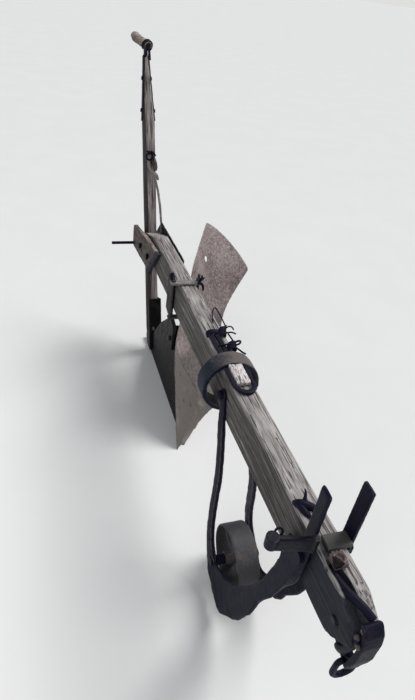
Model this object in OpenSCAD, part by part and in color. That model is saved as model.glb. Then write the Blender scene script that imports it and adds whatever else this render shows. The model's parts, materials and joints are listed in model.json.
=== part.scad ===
// Moldboard plough with one stilt, a timber beam, a gauge wheel in a bent
// fork and a share and wing made from one twisted sheet. Sizes are in mm.
// X is across the plough (plus is its left side), the front faces -Y, Z is up.
// Y = 0 lies above the point of the share, Z = 0 is the floor.

/* [Beam] */
// width of the timber beam
beam_w = 60; // [50:1:80]
// depth of the timber beam
beam_h = 120; // [95:1:140]
// reach of the beam's tail irons behind the stilt
tail_past = 71; // [60:1:110]
// place of the beam's nose, ahead of the share point
beam_nose = 905; // [880:5:980]
// height of the beam's top above the share point
beam_top = 545; // [520:1:600]
// rise of the beam towards its nose, in degrees
beam_rise = 1.9; // [0:0.1:4]
// worn edge of the timber
beam_edge = 6; // [2:0.5:12]

/* [Beam tail] */
// thickness of the cheek plank
cheek_t = 16; // [10:1:25]
// length of the cheek plank
cheek_l = 305; // [270:5:360]
// outward set of the cheek plank at its rear end
cheek_out = 16; // [6:1:24]
// length of the tail plate
tail_plate_l = 440; // [350:5:480]
// diameter of the cross rod
rod_d = 14; // [8:1:18]
// reach of the cross rod beyond the cheek
rod_out = 90; // [40:5:120]
// diameter of the tail bolts
tail_bolt_d = 12; // [8:1:14]

/* [Stilt] */
// side of the square stilt
stilt_w = 44; // [36:1:50]
// lean of the stilt from upright, in degrees
stilt_lean = 23.6; // [15:0.1:30]
// place where the stilt's line meets the floor, behind the share point
stilt_foot = 573; // [550:1:600]
// height of the stilt's top
stilt_top = 1095; // [950:5:1200]
// length of the stilt's tapered end, measured upright
taper_l = 245; // [200:5:300]
// width across the grip
grip_d = 36; // [28:1:44]
// length of the grip
grip_l = 115; // [90:5:160]

/* [Ground irons] */
// width of the sole bar
sole_w = 24; // [18:1:34]
// height of the sole bar
sole_h = 26; // [18:1:36]
// place of the sole's heel, behind the share point
sole_heel = 690; // [620:5:740]
// thickness of the landside
land_t = 8; // [6:1:14]
// width of the standard
standard_w = 58; // [50:1:90]
// thickness of the standard
standard_t = 12; // [8:1:16]
// thickness of the share and the wing
sheet_t = 5; // [4:0.5:8]

/* [Collar] */
// place of the collar ahead of the share point
collar_y = 245; // [230:5:320]
// outer diameter of the collar
collar_d = 158; // [150:1:180]
// width of the collar
collar_w = 34; // [24:1:44]

/* [Wheel] */
// diameter of the wheel
wheel_d = 180; // [150:2:220]
// width of the rim
wheel_w = 62; // [40:1:80]
// thickness of the rim
rim_t = 6; // [4:0.5:10]
// diameter of the axle
axle_d = 16; // [12:1:20]
// diameter of the hub
hub_d = 36; // [30:1:44]
// length of the hub
hub_l = 72; // [64:1:100]
// place of the axle ahead of the share point
axle_y = 484; // [450:2:530]
// running gap of the wheel on its axle
axle_gap = 0.06; // [0.02:0.01:0.1]

/* [Fork] */
// thickness of the fork's flat iron
fork_t = 8; // [6:0.5:10]
// width of the fork's rear limbs
limb_w = 28; // [24:1:32]
// width of the fork's upright tines
tine_w = 32; // [28:1:40]
// height of the tines' upper ends
tine_top = 714; // [660:2:780]
// place of the tines ahead of the share point
tine_y = 765; // [740:5:790]
// play between the beam and the right tine
tine_gap = 6; // [4:0.5:10]
// play between the beam and the left tine
left_gap = 10; // [5:0.5:12]
// outward set of the right fork iron at the wheel
right_out = 28; // [18:1:34]
// outward set of the left fork iron at the wheel
left_out = 9; // [9:1:20]

/* [Hitch] */
// width of the nose strap
strap_w = 38; // [28:1:44]
// width of its tongue in the beam's slot
tongue_w = 14; // [10:1:18]
// thickness of the nose strap
strap_t = 8; // [6:0.5:10]
// thickness of the draught link's iron
link_d = 12; // [9:0.5:14]
// width of the draught link
link_w = 54; // [50:1:62]
// length of the draught link
link_l = 68; // [60:1:84]

/* [Hidden] */
$fn = 48;
seat = 0.3;
ox = -114.6;
oy = -96;
beam_slope = tan(beam_rise);
function top_z(y) = beam_top - y * beam_slope;
function low_z(y) = top_z(y) - beam_h / cos(beam_rise);
bw = beam_w / 2;
function stilt_y(z) = stilt_foot + z * tan(stilt_lean);
// the stilt's front face at a height
function stilt_front(z) = stilt_y(z) - stilt_w / 2 / cos(stilt_lean);
tail_end = stilt_y(beam_top - beam_h) + tail_past;

put() beam();
put() tail_cheek();
put() tail_plate();
put() cross_rod();
put() tail_bolts();
put() stilt();
put() stilt_irons();
put() ferrule();
put() grip();
put() latch_staple();
put() latch_rod();
put() socket();
put() sole();
put() landside();
put() standard();
put() standard_clamp();
put() frog();
put() share();
put() moldboard();
put() collar();
put() collar_bolts();
put() wear_strap();
put() wedge();
put() tie_bars();
put() fork_left();
put() fork_right();
put() fork_bolts();
put() axle();
put() wheel();
put() clamp_bar();
put() clamp_plate();
put() clamp_nut();
put() eye_bolt();
put() nose_strap();
put() nose_pin();
put() draught_link();

module put() { translate([ox, oy, 0]) children(); }

// the beam's own frame: y along the beam, z = 0 on its top face
module on_beam() { translate([0, 0, beam_top]) rotate([-beam_rise, 0, 0]) children(); }
// a side profile in (y, z), drawn out along x
module across(x0, x1) { translate([x0, 0, 0]) rotate([90, 0, 90]) linear_extrude(x1 - x0) children(); }

// Beam: a chamfered timber with a rounded nose, cut off along the stilt at its rear end.
module beam() {
  color("tan") difference() {
    on_beam() intersection() {
      translate([0, tail_end, 0]) rotate([90, 0, 0]) linear_extrude(tail_end + beam_nose)
        polygon([[-bw, -beam_h + beam_edge], [-bw + beam_edge, -beam_h], [bw - beam_edge, -beam_h], [bw, -beam_h + beam_edge],
                 [bw, -beam_edge], [bw - beam_edge, 0], [-bw + beam_edge, 0], [-bw, -beam_edge]]);
      union() {
        translate([-bw - 1, beam_h * 0.55 - beam_nose, -beam_h - 1]) cube([beam_w + 2, tail_end + beam_nose, beam_h + 2]);
        translate([-bw - 1, beam_h * 0.55 - beam_nose, -beam_h / 2]) rotate([0, 90, 0]) scale([1, 1.1, 1]) cylinder(d = beam_h, h = beam_w + 2);
      }
    }
    // the rear end is cut along the stilt's front face, and its top is hewn down towards the stilt
    stilt_frame() translate([-beam_w, -stilt_w / 2 - seat, 0]) cube([2 * beam_w, 400, 1000]);
    on_beam() across(-bw - 1, bw + 1) polygon([[tail_end - hewn_l, 0], [tail_end, -hewn_l * hewn_fall], [tail_end, 20], [tail_end - hewn_l, 20]]);
    // the slot for the nose strap's tongue
    on_beam() translate([-tongue_w / 2 - 1, -beam_nose - 1, -slot_deep]) cube([tongue_w + 2, slot_l + 1, 40]);
    for (h = cross_holes) translate([-bw - 5, h[0], h[1]]) rotate([0, 90, 0]) cylinder(d = h[2] + 2 * seat, h = beam_w + 10);
    on_beam() translate([0, -nut_y, -beam_h - 10]) cylinder(d = nut_bolt_d + 2 * seat, h = beam_h + 20);
  }
}

hewn_l = 230;
hewn_fall = 0.31;
slot_deep = 12;
slot_l = 82;

// holes across the beam: place, height, bolt diameter
pivot_y = collar_y + 38;
pivot_z = top_z(-pivot_y) - 52;
pivot_d = 14;
tine_bolt_z = top_z(-tine_y) - 40;
tine_bolt_d = 14;
nose_pin_y = beam_nose - 26;
nose_pin_z = top_z(-nose_pin_y) - beam_h * 0.5;
nose_pin_d = 14;
rod_y = tail_end - 8;
rod_z = low_z(rod_y) - 2;
// bolts through cheek, beam and plate: place, height
function tail_bolt(ahead, deep) = [tail_end - ahead, top_z(tail_end - ahead) - deep];
tail_bolts = [tail_bolt(124, 85), tail_bolt(230, 83)];
cross_holes = [[-pivot_y, pivot_z, pivot_d], [-tine_y, tine_bolt_z, tine_bolt_d],
               [-nose_pin_y, nose_pin_z, nose_pin_d], for (b = tail_bolts) [b[0], b[1], tail_bolt_d]];
nut_y = 815;
nut_bolt_d = 16;

// Tail: a plank that stands off the beam's right side, a thin plate on its left side, bolts through the beam and a rod behind the stilt.
cheek_past = 15;
cheek_start = tail_end + cheek_past - cheek_l;
cheek_top = 45;
cheek_low = 139;
cheek_corner = 12;
module cheek_frame() {
  translate([-bw - seat, cheek_start, 0]) rotate([0, 0, atan(cheek_out / cheek_l)]) translate([0, -cheek_start, 0]) children();
}
module tail_cheek() {
  rear = tail_end + cheek_past;
  color("peru") difference() {
    cheek_frame() on_beam() across(-cheek_t, 0)
      polygon([[cheek_start, -cheek_top], [rear - cheek_corner, -cheek_top], [rear, -cheek_top - cheek_corner], [rear, -cheek_low], [cheek_start + 25, -cheek_low]]);
    translate([-bw - 100, rod_y, rod_z]) rotate([0, 90, 0]) cylinder(d = rod_d + 2 * seat, h = 150);
    for (b = tail_bolts) translate([-bw - 100, b[0], b[1]]) rotate([0, 90, 0]) cylinder(d = tail_bolt_d + 2 * seat, h = 150);
  }
}

tail_plate_t = 5;
module tail_plate() {
  front = tail_end - tail_plate_l;
  rear = tail_end + 9;
  color("dimgray") difference() {
    on_beam() across(bw + seat, bw + seat + tail_plate_t)
      polygon([[front, 0], [tail_end - 87, 0], [rear, -beam_h + 36], [rear, -beam_h - 17], [rear - 50, -beam_h - 17], [tail_end - 150, -beam_h], [front, -30]]);
    translate([0, rod_y, rod_z]) rotate([0, 90, 0]) cylinder(d = rod_d + 2 * seat, h = 100);
    for (b = tail_bolts) translate([0, b[0], b[1]]) rotate([0, 90, 0]) cylinder(d = tail_bolt_d + 2 * seat, h = 100);
  }
}

module cross_rod() {
  reach = bw + cheek_t + cheek_out + rod_out;
  right = bw + tail_plate_t + 2 * seat;
  color("dimgray") {
    translate([-reach, rod_y, rod_z]) rotate([0, 90, 0]) cylinder(d = rod_d - 2, h = rod_out + 1);
    translate([rod_out - reach, rod_y, rod_z]) rotate([0, 90, 0]) cylinder(d = rod_d, h = reach - rod_out + right + 12);
    translate([right, rod_y, rod_z]) rotate([0, 90, 0]) cylinder(d = rod_d * 2, h = 8, $fn = 6);
  }
}

// the first bolt also holds the eye of the latch rod, under its nut
rod_eye = 6;
module tail_bolts() {
  right = bw + tail_plate_t + 2 * seat;
  color("dimgray") for (i = [0, 1]) let(b = tail_bolts[i], under = i == 0 ? rod_eye + 2 * seat : 0) {
    left = bw + seat + cheek_t + (b[0] - cheek_start) * cheek_out / cheek_l + 1.2;
    translate([-left - 7, b[0], b[1]]) rotate([0, 90, 0]) cylinder(d = tail_bolt_d, h = left + right + under + 20);
    translate([-left - 8, b[0], b[1]]) rotate([0, 90, 0]) cylinder(d = tail_bolt_d * 1.8, h = 8);
    translate([right + under, b[0], b[1]]) rotate([0, 90, 0]) cylinder(d = tail_bolt_d * 1.9, h = 9, $fn = 6);
  }
}

// Stilt: a square pole through the beam, tapered to a point at the grip.
taper_z = stilt_top - taper_l;
top_w = 18;
// the stilt stands a little to the left and leans that way
stilt_side = 1;
stilt_tilt = 0.4;
module stilt_frame() { translate([stilt_side, stilt_foot, 0]) rotate([0, stilt_tilt, 0]) rotate([-stilt_lean, 0, 0]) children(); }
module stilt_pole(grow = 0) {
  w = stilt_w / 2 + grow;
  t = top_w / 2 + grow;
  foot = 90 / cos(stilt_lean);
  knee = taper_z / cos(stilt_lean);
  end = stilt_top / cos(stilt_lean);
  stilt_frame() intersection() {
    across(-w, w) polygon([[-w, foot], [w, foot], [w, knee], [t, end], [-t, end], [-w, knee]]);
    translate([0, w, 0]) rotate([90, 0, 0]) linear_extrude(2 * w) polygon([[-w, foot], [w, foot], [w, knee], [t, end], [-t, end], [-w, knee]]);
  }
}
// places on the stilt: the height of the point, then the distance out of its axis
module on_stilt(z) { stilt_frame() translate([0, 0, z / cos(stilt_lean)]) children(); }

module stilt() { color("sienna") stilt_pole(); }

strap_h = (stilt_top - taper_z) / cos(stilt_lean);
flank = atan((stilt_w - top_w) / 2 / strap_h);
module stilt_irons() {
  color("dimgray") on_stilt(taper_z) for (side = [-1, 1]) translate([side * (stilt_w / 2 + seat), 0, 0]) rotate([0, -side * flank, 0]) {
    translate([side > 0 ? 0 : -5, -11, 2]) cube([5, 22, strap_h - grip_d / 2 - 16]);
    for (part = [0.15, 0.58]) translate([side * 5, 0, part * strap_h]) rotate([0, side * 90, 0]) cylinder(d = 15, h = 5);
  }
}

// Grip: a turned hand piece set across the stilt's point in an iron ring.
grip_turn = 115;
grip_tilt = 19;
module on_grip() { on_stilt(stilt_top) translate([0, 0, -4]) rotate([stilt_lean, 0, 0]) rotate([0, 0, grip_turn]) rotate([0, 90 - grip_tilt, 0]) rotate([0, 0, 90]) children(); }
module ferrule() {
  color("dimgray") difference() {
    on_grip() translate([0, 0, -grip_d * 0.6]) cylinder(d = grip_d + 8, h = 16);
    on_grip() translate([0, 0, -grip_d]) cylinder(d = grip_d + 2 * seat, h = 60);
    stilt_pole(seat);
  }
}
module grip() {
  color("burlywood") difference() {
    on_grip() translate([0, 0, -grip_d * 0.6]) rotate_extrude()
      polygon([[0, 0], [grip_d / 2, 0], [grip_d / 2, 18], [grip_d / 2 - 2, grip_l * 0.5], [grip_d / 2, grip_l * 0.85], [grip_d / 2 - 6, grip_l], [0, grip_l]]);
    stilt_pole(seat);
  }
}

// Latch: a loop in a staple on the stilt's front and the rod that hangs from it, held by its eye on a tail bolt.
latch_z = 718;
latch_rod_d = 7;
ring_r = 11;
ring_d = 6;
ring_out = 14.5;
module latch_staple() {
  color("dimgray") on_stilt(latch_z) translate([0, -stilt_w / 2 - seat, 0]) {
    translate([0, -ring_out, 0]) rotate([0, 90, 0]) rotate_extrude() translate([ring_r, 0]) circle(d = ring_d, $fn = 20);
    translate([-5, -3, -14]) cube([10, 3, 44]);
  }
}
module latch_rod() {
  x = bw + tail_plate_t + 2 * seat;
  hang = latch_z - ring_r - ring_d / 2 - latch_rod_d * 0.55 - seat;
  low = top_z(stilt_y(beam_top)) - 8;
  b = tail_bolts[0];
  color("sienna") {
    chain_rod([[6, stilt_front(latch_z) - ring_out - 3, hang], [20, stilt_front(latch_z - 42) - 8, latch_z - 42], [33, stilt_front(latch_z - 96) - 6, latch_z - 96],
               [40, stilt_front(latch_z - 146) - 7, latch_z - 146], [x + 5, stilt_front(low) - 22, low], [x + 3.5, b[0] + 8, b[1] + 14]], latch_rod_d);
    translate([x, b[0], b[1]]) rotate([0, 90, 0]) difference() {
      cylinder(d = 28, h = rod_eye);
      translate([0, 0, -1]) cylinder(d = tail_bolt_d + 2 * seat, h = 20);
    }
  }
}
module chain_rod(pts, d) {
  for (i = [0:len(pts) - 2]) rod_between(pts[i], pts[i + 1], d);
  for (p = pts) translate(p) sphere(d = d * 1.1, $fn = 20);
}
module rod_between(a, b, d) {
  v = b - a;
  translate(a) rotate([0, acos(v[2] / norm(v)), atan2(v[1], v[0])]) cylinder(d = d, h = norm(v), $fn = 20);
}

// Ground irons: socket, sole bar, landside plate and the standard with its clamp.
socket_top = 215;
socket_wall = 5;
module socket() {
  o = stilt_w / 2 + socket_wall;
  color("dimgray") difference() {
    intersection() {
      stilt_frame() translate([-o, -o, -60]) cube([2 * o, 2 * o, socket_top / cos(stilt_lean) + 60]);
      translate([-2 * o, 0, sole_h + seat]) cube([4 * o, 2000, 600]);
    }
    stilt_pole(seat);
    translate([-sole_w / 2, 0, 0]) cube([land_t + seat, stilt_foot + 25, 130]);
  }
}

// what lies ahead of the share's back is cut off the pieces that meet it
module ahead_of_share() { sheet_patch(0, seam, 0, 1, share_rows, share_cols, -40, sheet_t + seat); }
module sole() {
  color("dimgray") difference() {
    across(-sole_w / 2, sole_w / 2)
      polygon([[30, 0], [sole_heel - 12, 0], [sole_heel, 12], [sole_heel, sole_h], [60, sole_h], [30, 10]]);
    ahead_of_share();
  }
}

module landside() {
  color("dimgray") difference() {
    across(-sole_w / 2, land_t - sole_w / 2)
      polygon([[60, sole_h + seat], [stilt_foot + 20, sole_h + seat], [stilt_foot + 12, 90], [470, 222], [345, 330], [285, 330], [215, 240], [130, 140]]);
    ahead_of_share();
    translate([-50, standard_y, land_bolt_z]) rotate([0, 90, 0]) cylinder(d = 12 + 2 * seat, h = 60);
  }
}

// the standard runs down the beam's right face and steps in to lie on the landside
standard_y = 276;
land_bolt_z = 285;
module standard() {
  x0 = -bw - seat;
  x1 = -sole_w / 2 - seat;
  top = top_z(standard_y) - 6;
  knee = low_z(standard_y + standard_w) - 8;
  low = 250;
  color("dimgray") difference() {
    translate([0, standard_y + standard_w / 2, 0]) rotate([90, 0, 0]) linear_extrude(standard_w)
      polygon([[x0 - standard_t, top], [x0, top], [x0, knee], [x1, knee - 55], [x1, low], [x1 - standard_t, low], [x1 - standard_t, knee - 60], [x0 - standard_t, knee - 5]]);
    translate([-60, standard_y, land_bolt_z]) rotate([0, 90, 0]) cylinder(d = 12 + 2 * seat, h = 60);
  }
}

clamp_y = 218;
clamp_d = 10;
module standard_clamp() {
  left = bw + standard_t + seat * 3 + clamp_d / 2;
  right = bw + seat * 2 + clamp_d / 2;
  color("gray") {
    translate([0, clamp_y, top_z(clamp_y)]) rotate([-beam_rise, 0, 0]) translate([-left - 9, -13, 0.5]) cube([left + right + 18, 26, 8]);
    translate([0, clamp_y, low_z(clamp_y)]) rotate([-beam_rise, 0, 0]) translate([-left - 9, -11, -8.5]) cube([left + right + 18, 22, 8]);
    for (x = [-left, right]) translate([x, clamp_y, low_z(clamp_y) - 16]) {
      cylinder(d = clamp_d, h = beam_h + 50, $fn = 24);
      cylinder(d = 19, h = 8, $fn = 6);
      translate([0, 0, beam_h + 24]) cylinder(d = 19, h = 9, $fn = 6);
    }
    translate([-sole_w / 2 - 2 * seat - standard_t - 8, standard_y, land_bolt_z]) rotate([0, 90, 0]) {
      cylinder(d = 20, h = 8 - 0.2, $fn = 6);
      cylinder(d = 12, h = 8 + standard_t + land_t + seat, $fn = 24);
    }
  }
}

// Share and wing: one twisted surface between two edge curves, [x, y, z] at the shin and top edge, then at the ground and lower edge.
edges = [
  [[-37, 0, 0],      [-9, 0, 0]],
  [[-31, 100, 145],  [70, 115, 0]],
  [[-14, 222, 300],  [150, 190, 0]],
  [[48, 345, 408],   [222, 285, 40]],
  [[95, 455, 485],   [250, 477, 215]],
  [[210, 708, 536],  [380, 596, 378]]
];
hollow = 26;
end_bow = 34;
function pt(e, i) = edges[min(max(i, 0), len(edges) - 1)][e];
function spline(e, s) = let(n = len(edges) - 1, i = min(floor(s * n), n - 1), f = s * n - i,
  a = pt(e, i - 1), b = pt(e, i), c = pt(e, i + 1), d = pt(e, i + 2))
  0.5 * ((2 * b) + (c - a) * f + (2 * a - 5 * b + 4 * c - d) * f * f + (3 * b - a - 3 * c + d) * f * f * f);
function unit(v) = v / norm(v);
end_dir = unit(pt(0, 5) + pt(1, 5) - pt(0, 4) - pt(1, 4));
function sheet(s, t) = let(a = spline(0, s), b = spline(1, s))
  a + (b - a) * t + end_dir * end_bow * pow(s, 5) * 4 * t * (1 - t) + [-0.5, 0.7, -0.5] * hollow * sin(180 * t) * sin(180 * min(1, s * 0.75 + 0.12));
function sheet_normal(s, t) = let(e = 0.02, s0 = max(0, s - e), s1 = min(1, s + e), t0 = max(0, t - e), t1 = min(1, t + e))
  unit(cross(sheet(s1, t) - sheet(s0, t), sheet(s, t1) - sheet(s, t0)));
function sheet_back(s, t, d) = sheet(s, t) + sheet_normal(s, t) * d;

module sheet_patch(s0, s1, t0, t1, ns, nt, near, far) {
  m = (ns + 1) * (nt + 1);
  grid = [for (i = [0:ns]) for (j = [0:nt]) [s0 + (s1 - s0) * i / ns, t0 + (t1 - t0) * j / nt]];
  points = concat([for (g = grid) sheet_back(g[0], g[1], far)], [for (g = grid) sheet_back(g[0], g[1], near)]);
  function at(i, j) = i * (nt + 1) + j;
  polyhedron(points, concat(
    [for (i = [0:ns - 1]) for (j = [0:nt - 1]) each [[at(i, j), at(i, j + 1), at(i + 1, j + 1)], [at(i, j), at(i + 1, j + 1), at(i + 1, j)]]],
    [for (i = [0:ns - 1]) for (j = [0:nt - 1]) each [[m + at(i, j), m + at(i + 1, j + 1), m + at(i, j + 1)], [m + at(i, j), m + at(i + 1, j), m + at(i + 1, j + 1)]]],
    [for (i = [0:ns - 1]) each [[at(i, 0), at(i + 1, 0), m + at(i + 1, 0)], [at(i, 0), m + at(i + 1, 0), m + at(i, 0)]]],
    [for (i = [0:ns - 1]) each [[at(i, nt), m + at(i + 1, nt), at(i + 1, nt)], [at(i, nt), m + at(i, nt), m + at(i + 1, nt)]]],
    [for (j = [0:nt - 1]) each [[at(0, j), m + at(0, j + 1), at(0, j + 1)], [at(0, j), m + at(0, j), m + at(0, j + 1)]]],
    [for (j = [0:nt - 1]) each [[at(ns, j), at(ns, j + 1), m + at(ns, j + 1)], [at(ns, j), m + at(ns, j + 1), m + at(ns, j)]]]
  ));
}

seam = 0.38;
wing_start = seam + 0.004;
share_rows = 8;
share_cols = 6;
wing_rows = 14;
wing_cols = 8;
frog_depth = 60;
module share() {
  color("gray") intersection() {
    sheet_patch(0, seam, 0, 1, share_rows, share_cols, 0, sheet_t);
    translate([-500, -500, 0]) cube(1500);
  }
}
hole_s = 0.87;
hole_t = 0.25;
hole_d = 14;
module along(v) { rotate([0, acos(v[2] / norm(v)), atan2(v[1], v[0])]) children(); }
module moldboard() {
  color("rosybrown") difference() {
    intersection() {
      sheet_patch(wing_start, 1, 0, 1, wing_rows, wing_cols, 0, sheet_t);
      translate([-500, -500, 0]) cube(2000);
    }
    translate(sheet(hole_s, hole_t)) along(sheet_normal(hole_s, hole_t)) translate([0, 0, -30]) cylinder(d = hole_d, h = 60);
  }
}

// Frog: the cast block between the landside and the back of the sheet.
module frog() {
  deep = sheet_t + frog_depth;
  share_row = seam / share_rows;
  wing_row = (1 - wing_start) / wing_rows;
  color("dimgray") intersection() {
    union() {
      sheet_patch(seam - 4 * share_row, seam, 1 / share_cols, 3 / share_cols, 4, 2, sheet_t + seat, deep);
      sheet_patch(wing_start, wing_start + 3 * wing_row, 1 / wing_cols, 4 / wing_cols, 3, 3, sheet_t + seat, deep);
      sheet_patch(seam - 3 * share_row, wing_start + 2 * wing_row, 0.2, 0.45, 3, 3, sheet_t + 12, deep - 4);
    }
    translate([land_t - sole_w / 2 + seat, 0, sole_h + seat]) cube([400, 600, 350]);
  }
}

// Collar: a hoop driven over the beam, a U shaped strap and a wedge on top, two short bars behind.
module collar() {
  color("dimgray") translate([0, -collar_y, (top_z(-collar_y) + low_z(-collar_y)) / 2]) rotate([90 - beam_rise, 0, 0]) difference() {
    translate([0, 0, -collar_w / 2]) cylinder(d = collar_d, h = collar_w, $fn = 64);
    translate([0, 0, -collar_w]) cylinder(d = norm([beam_w - 2 * beam_edge, beam_h]) + 2 * seat + 0.6, h = collar_w * 2, $fn = 64);
  }
}

module collar_bolts() {
  x = bw + fork_t + 2 * seat;
  color("dimgray") {
    translate([-x - 9, -pivot_y, pivot_z]) rotate([0, 90, 0]) cylinder(d = pivot_d, h = 2 * x + 22);
    translate([-x - 8, -pivot_y, pivot_z]) rotate([0, 90, 0]) cylinder(d = 24, h = 8 - 0.1);
    translate([x + 0.1, -pivot_y, pivot_z]) rotate([0, 90, 0]) cylinder(d = 26, h = 9, $fn = 6);
  }
}

module wear_strap() {
  color("dimgray") on_beam() translate([0, -collar_y - collar_w / 2 - 2, seat]) linear_extrude(9) difference() {
    union() { translate([-31, -52]) square([62, 50]); translate([0, -52]) circle(r = 31); }
    union() { translate([-20, -52]) square([40, 60]); translate([0, -52]) circle(r = 20); }
  }
}

module wedge() {
  color("gainsboro") on_beam() across(-18, 18) translate([-collar_y - collar_w / 2, seat])
    polygon([[-58, 0], [-2, 0], [-2, 15], [-58, 11]]);
}

module tie_bars() {
  color("dimgray") on_beam() for (x = [-24, -6]) translate([x, -collar_y + collar_w / 2 + 2, seat]) cube([14, 138, 8]);
}

// Fork: a flat iron on each side, bent from the pivot down round the wheel and up into a tine.
// [y, z, width, how far the left iron lies ahead] along the middle of the iron
fork_path = [
  [-pivot_y, pivot_z + 12, limb_w, 0],
  [-305, 446, limb_w, 0],
  [-334, 396, limb_w, 4],
  [-358, 350, limb_w, 10],
  [-380, 296, limb_w, 17],
  [-394, 236, limb_w, 10],
  [-412, 172, limb_w, -4],
  [-438, 122, limb_w + 4, -8],
  [-axle_y + 4, wheel_d / 2 - 8, limb_w + 16, 0],
  [-532, 54, limb_w + 38, 0],
  [-596, 90, limb_w + 46, 0],
  [-640, 146, limb_w + 44, 0],
  [-668, 220, limb_w + 26, 0],
  [-692, 288, tine_w + 9, 0],
  [-712, 350, tine_w + 5, 0],
  [-734, 410, tine_w + 7, 0],
  [-756, 456, tine_w + 5, 0],
  [-tine_y, 510, tine_w, 0],
  [-tine_y, 560, tine_w, 0]
];
fork_bend = 400;
limb_bend = 465;
fork_x = bw + tine_gap;
// [outward set at the wheel, top of the tine, inner face of the tine, cut of the belly, share of the left iron's shift]
right_iron = [right_out, tine_top, fork_x, 0, 0];
left_iron = [left_out, tine_top - 11, bw + left_gap, 24, 1];
// where the inner face of a fork iron lies, at a height above the wheel
function fork_in(iron, z) = iron[2] + iron[0] * (fork_bend - z) / (fork_bend - wheel_d / 2);
function fp(i, k) = let(r = fork_path[min(max(i, 0), len(fork_path) - 1)]) [r[0] - k * r[3], r[1], r[2]];
function fork_mid(u, k) = let(n = len(fork_path) - 1, i = min(floor(u * n), n - 1), f = u * n - i, a = fp(i - 1, k), b = fp(i, k), c = fp(i + 1, k), d = fp(i + 2, k))
  0.5 * ((2 * b) + (c - a) * f + (2 * a - 5 * b + 4 * c - d) * f * f + (3 * b - a - 3 * c + d) * f * f * f);
// the belly's lower edge is cut back
function fork_half(w, side, cut) = w / 2 - (side > 0 ? cut * min(1, max(0, (w - limb_w - 16) / 20)) : 0);
function fork_edge(u, side, iron) = let(m = fork_mid(u, iron[4]), w = fork_half(m[2], side, iron[3]),
  q = fork_mid(min(1, u + 0.01), iron[4]) - fork_mid(max(0, u - 0.01), iron[4]), l = norm([q[0], q[1]]))
  [m[0] - side * q[1] / l * w, m[1] + side * q[0] / l * w];
fork_steps = 36;
module fork_outline(iron) {
  polygon(concat([for (k = [0:fork_steps]) fork_edge(k / fork_steps, 1, iron)], [for (k = [fork_steps:-1:0]) fork_edge(k / fork_steps, -1, iron)]));
}
// a flat iron with its inner face at x0, which leans out below the height z0
module leaning(iron, z0, x0) {
  slope = (iron[2] + iron[0] - x0) / (z0 - wheel_d / 2);
  multmatrix([[1, 0, slope, -slope * z0], [0, 1, 0, 0], [0, 0, 1, 0]]) across(-x0 - fork_t, -x0) children();
}
module fork_side(iron) {
  x0 = iron[2];
  difference() {
    union() {
      leaning(iron, fork_bend, x0) intersection() {
        fork_outline(iron);
        translate([-1000, -50]) square([1000 - axle_y, fork_bend + 50]);
      }
      across(-x0 - fork_t, -x0) intersection() {
        fork_outline(iron);
        translate([-1000, fork_bend]) square([1000 - axle_y, 400]);
      }
      translate([-x0 - fork_t, -tine_y - tine_w / 2, 540]) cube([fork_t, tine_w, iron[1] - 540]);
      leaning(iron, limb_bend, bw + seat) intersection() {
        fork_outline(iron);
        translate([-axle_y, -50]) square([axle_y, limb_bend + 50]);
      }
      across(-bw - seat - fork_t, -bw - seat) intersection() {
        fork_outline(iron);
        translate([-axle_y, limb_bend]) square([axle_y, 400]);
      }
      translate([-bw - seat - fork_t, -pivot_y, pivot_z]) rotate([0, 90, 0]) cylinder(d = limb_w + 8, h = fork_t);
    }
    translate([-200, -tine_y, tine_bolt_z]) rotate([0, 90, 0]) cylinder(d = tine_bolt_d + 2 * seat, h = 250);
    translate([-200, -axle_y, wheel_d / 2]) rotate([0, 90, 0]) cylinder(d = axle_d + 2 * seat, h = 250);
    translate([-200, -pivot_y, pivot_z]) rotate([0, 90, 0]) cylinder(d = pivot_d + 2 * seat, h = 250);
  }
}
module fork_left() { color("dimgray") mirror([1, 0, 0]) fork_side(left_iron); }
module fork_right() { color("dimgray") fork_side(right_iron); }

module fork_bolts() {
  right = fork_x + fork_t + seat;
  left = bw + left_gap + fork_t + seat;
  color("dimgray") translate([0, -tine_y, tine_bolt_z]) rotate([0, 90, 0]) {
    translate([0, 0, -right - 7]) cylinder(d = tine_bolt_d, h = left + right + 21);
    translate([0, 0, -right - 8]) cylinder(d = 24, h = 8);
    translate([0, 0, left]) cylinder(d = 26, h = 9, $fn = 6);
    for (ring = [[seat - fork_x, tine_gap], [bw + seat, left_gap]]) translate([0, 0, ring[0]]) difference() {
      cylinder(d = 26, h = ring[1] - 2 * seat);
      translate([0, 0, -1]) cylinder(d = tine_bolt_d - 1, h = 20);
    }
  }
}

// the axle's ends are riveted over outside the fork
axle_head = 3;
module axle() {
  r = wheel_d / 2;
  left = fork_in(left_iron, r - 16) + fork_t + seat;
  right = fork_in(right_iron, r - 16) + fork_t + seat;
  color("dimgray") translate([0, -axle_y, r]) rotate([0, 90, 0]) {
    translate([0, 0, -right - axle_head + 0.5]) cylinder(d = axle_d, h = left + right + 2 * axle_head - 1);
    for (side = [[-1, right, right_iron], [1, left, left_iron]]) {
      spacer = fork_in(side[2], r + 14) - hub_l / 2 - 3.5;
      translate([0, 0, side[0] > 0 ? hub_l / 2 + 1 : -hub_l / 2 - 1 - spacer]) cylinder(d = axle_d + 12, h = spacer);
      translate([0, 0, side[0] > 0 ? side[1] : -side[1] - axle_head]) cylinder(d = axle_d + 8, h = axle_head);
    }
  }
}

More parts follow.
